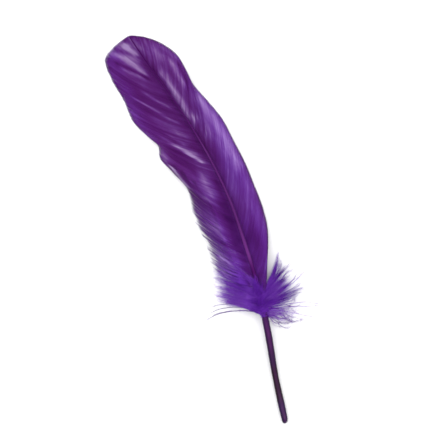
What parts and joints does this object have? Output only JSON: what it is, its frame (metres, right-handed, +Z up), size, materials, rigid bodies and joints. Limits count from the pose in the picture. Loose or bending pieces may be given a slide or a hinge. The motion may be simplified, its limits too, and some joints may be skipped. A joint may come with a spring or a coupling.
{
  "type": "goose quill feather",
  "caption": "Dyed goose quill feather lying outer side up: bare glossy quill, a wide and a narrow vane and a fluffy tuft of down at their foot.",
  "frame": {"origin": "under the middle of the feather's box, on the surface it rests on", "axes": "+Y from the quill's end to the tip, +X towards the narrow vane, +Z up from the surface to the feather's outer side"},
  "size_m": [0.049, 0.18, 0.0083],
  "materials": {
    "quill": "dyed horn, very dark purple, glossy on the bare quill and mauve along the rachis",
    "vane": "satin purple barbs lying side by side, darker beside the shaft, with paler lilac bands",
    "down": "soft violet down, loose and slightly see-through at its ends"
  },
  "bodies": {
    "root": {"shaft": "quill", "inner_vane": "vane", "outer_vane": "vane", "inner_down": "down", "outer_down": "down"}
  },
  "joints": []
}
